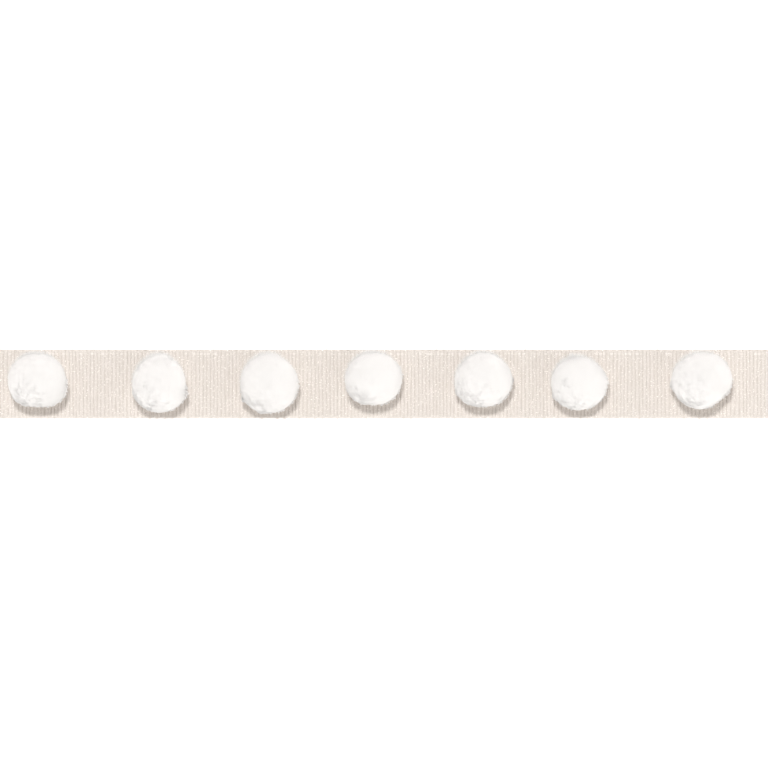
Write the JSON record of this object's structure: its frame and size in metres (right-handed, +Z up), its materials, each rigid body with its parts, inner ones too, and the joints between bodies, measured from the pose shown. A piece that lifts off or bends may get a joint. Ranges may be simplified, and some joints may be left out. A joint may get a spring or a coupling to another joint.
{
  "type": "pompom trim tape",
  "caption": "Straight cut length of cream cross-ribbed tape, lying flat, with round white cut-pile pompoms sewn along its face, for edging curtains, cushions and clothes.",
  "frame": {"origin": "under the middle of the tape, on the plane that the tape lies on", "axes": "+X along the tape, +Y across it, +Z up from the tape's back to the pompoms"},
  "size_m": [0.3, 0.0254, 0.0213],
  "materials": {
    "ribbed_tape": "matt warp-faced weave with fine ribs across the tape",
    "pile": "dense fluffy cut pile"
  },
  "bodies": {
    "root": {"tape": "ribbed_tape", "pompom_1": "pile", "pompom_2": "pile", "pompom_3": "pile", "pompom_4": "pile", "pompom_5": "pile", "pompom_6": "pile", "pompom_7": "pile"}
  },
  "joints": []
}
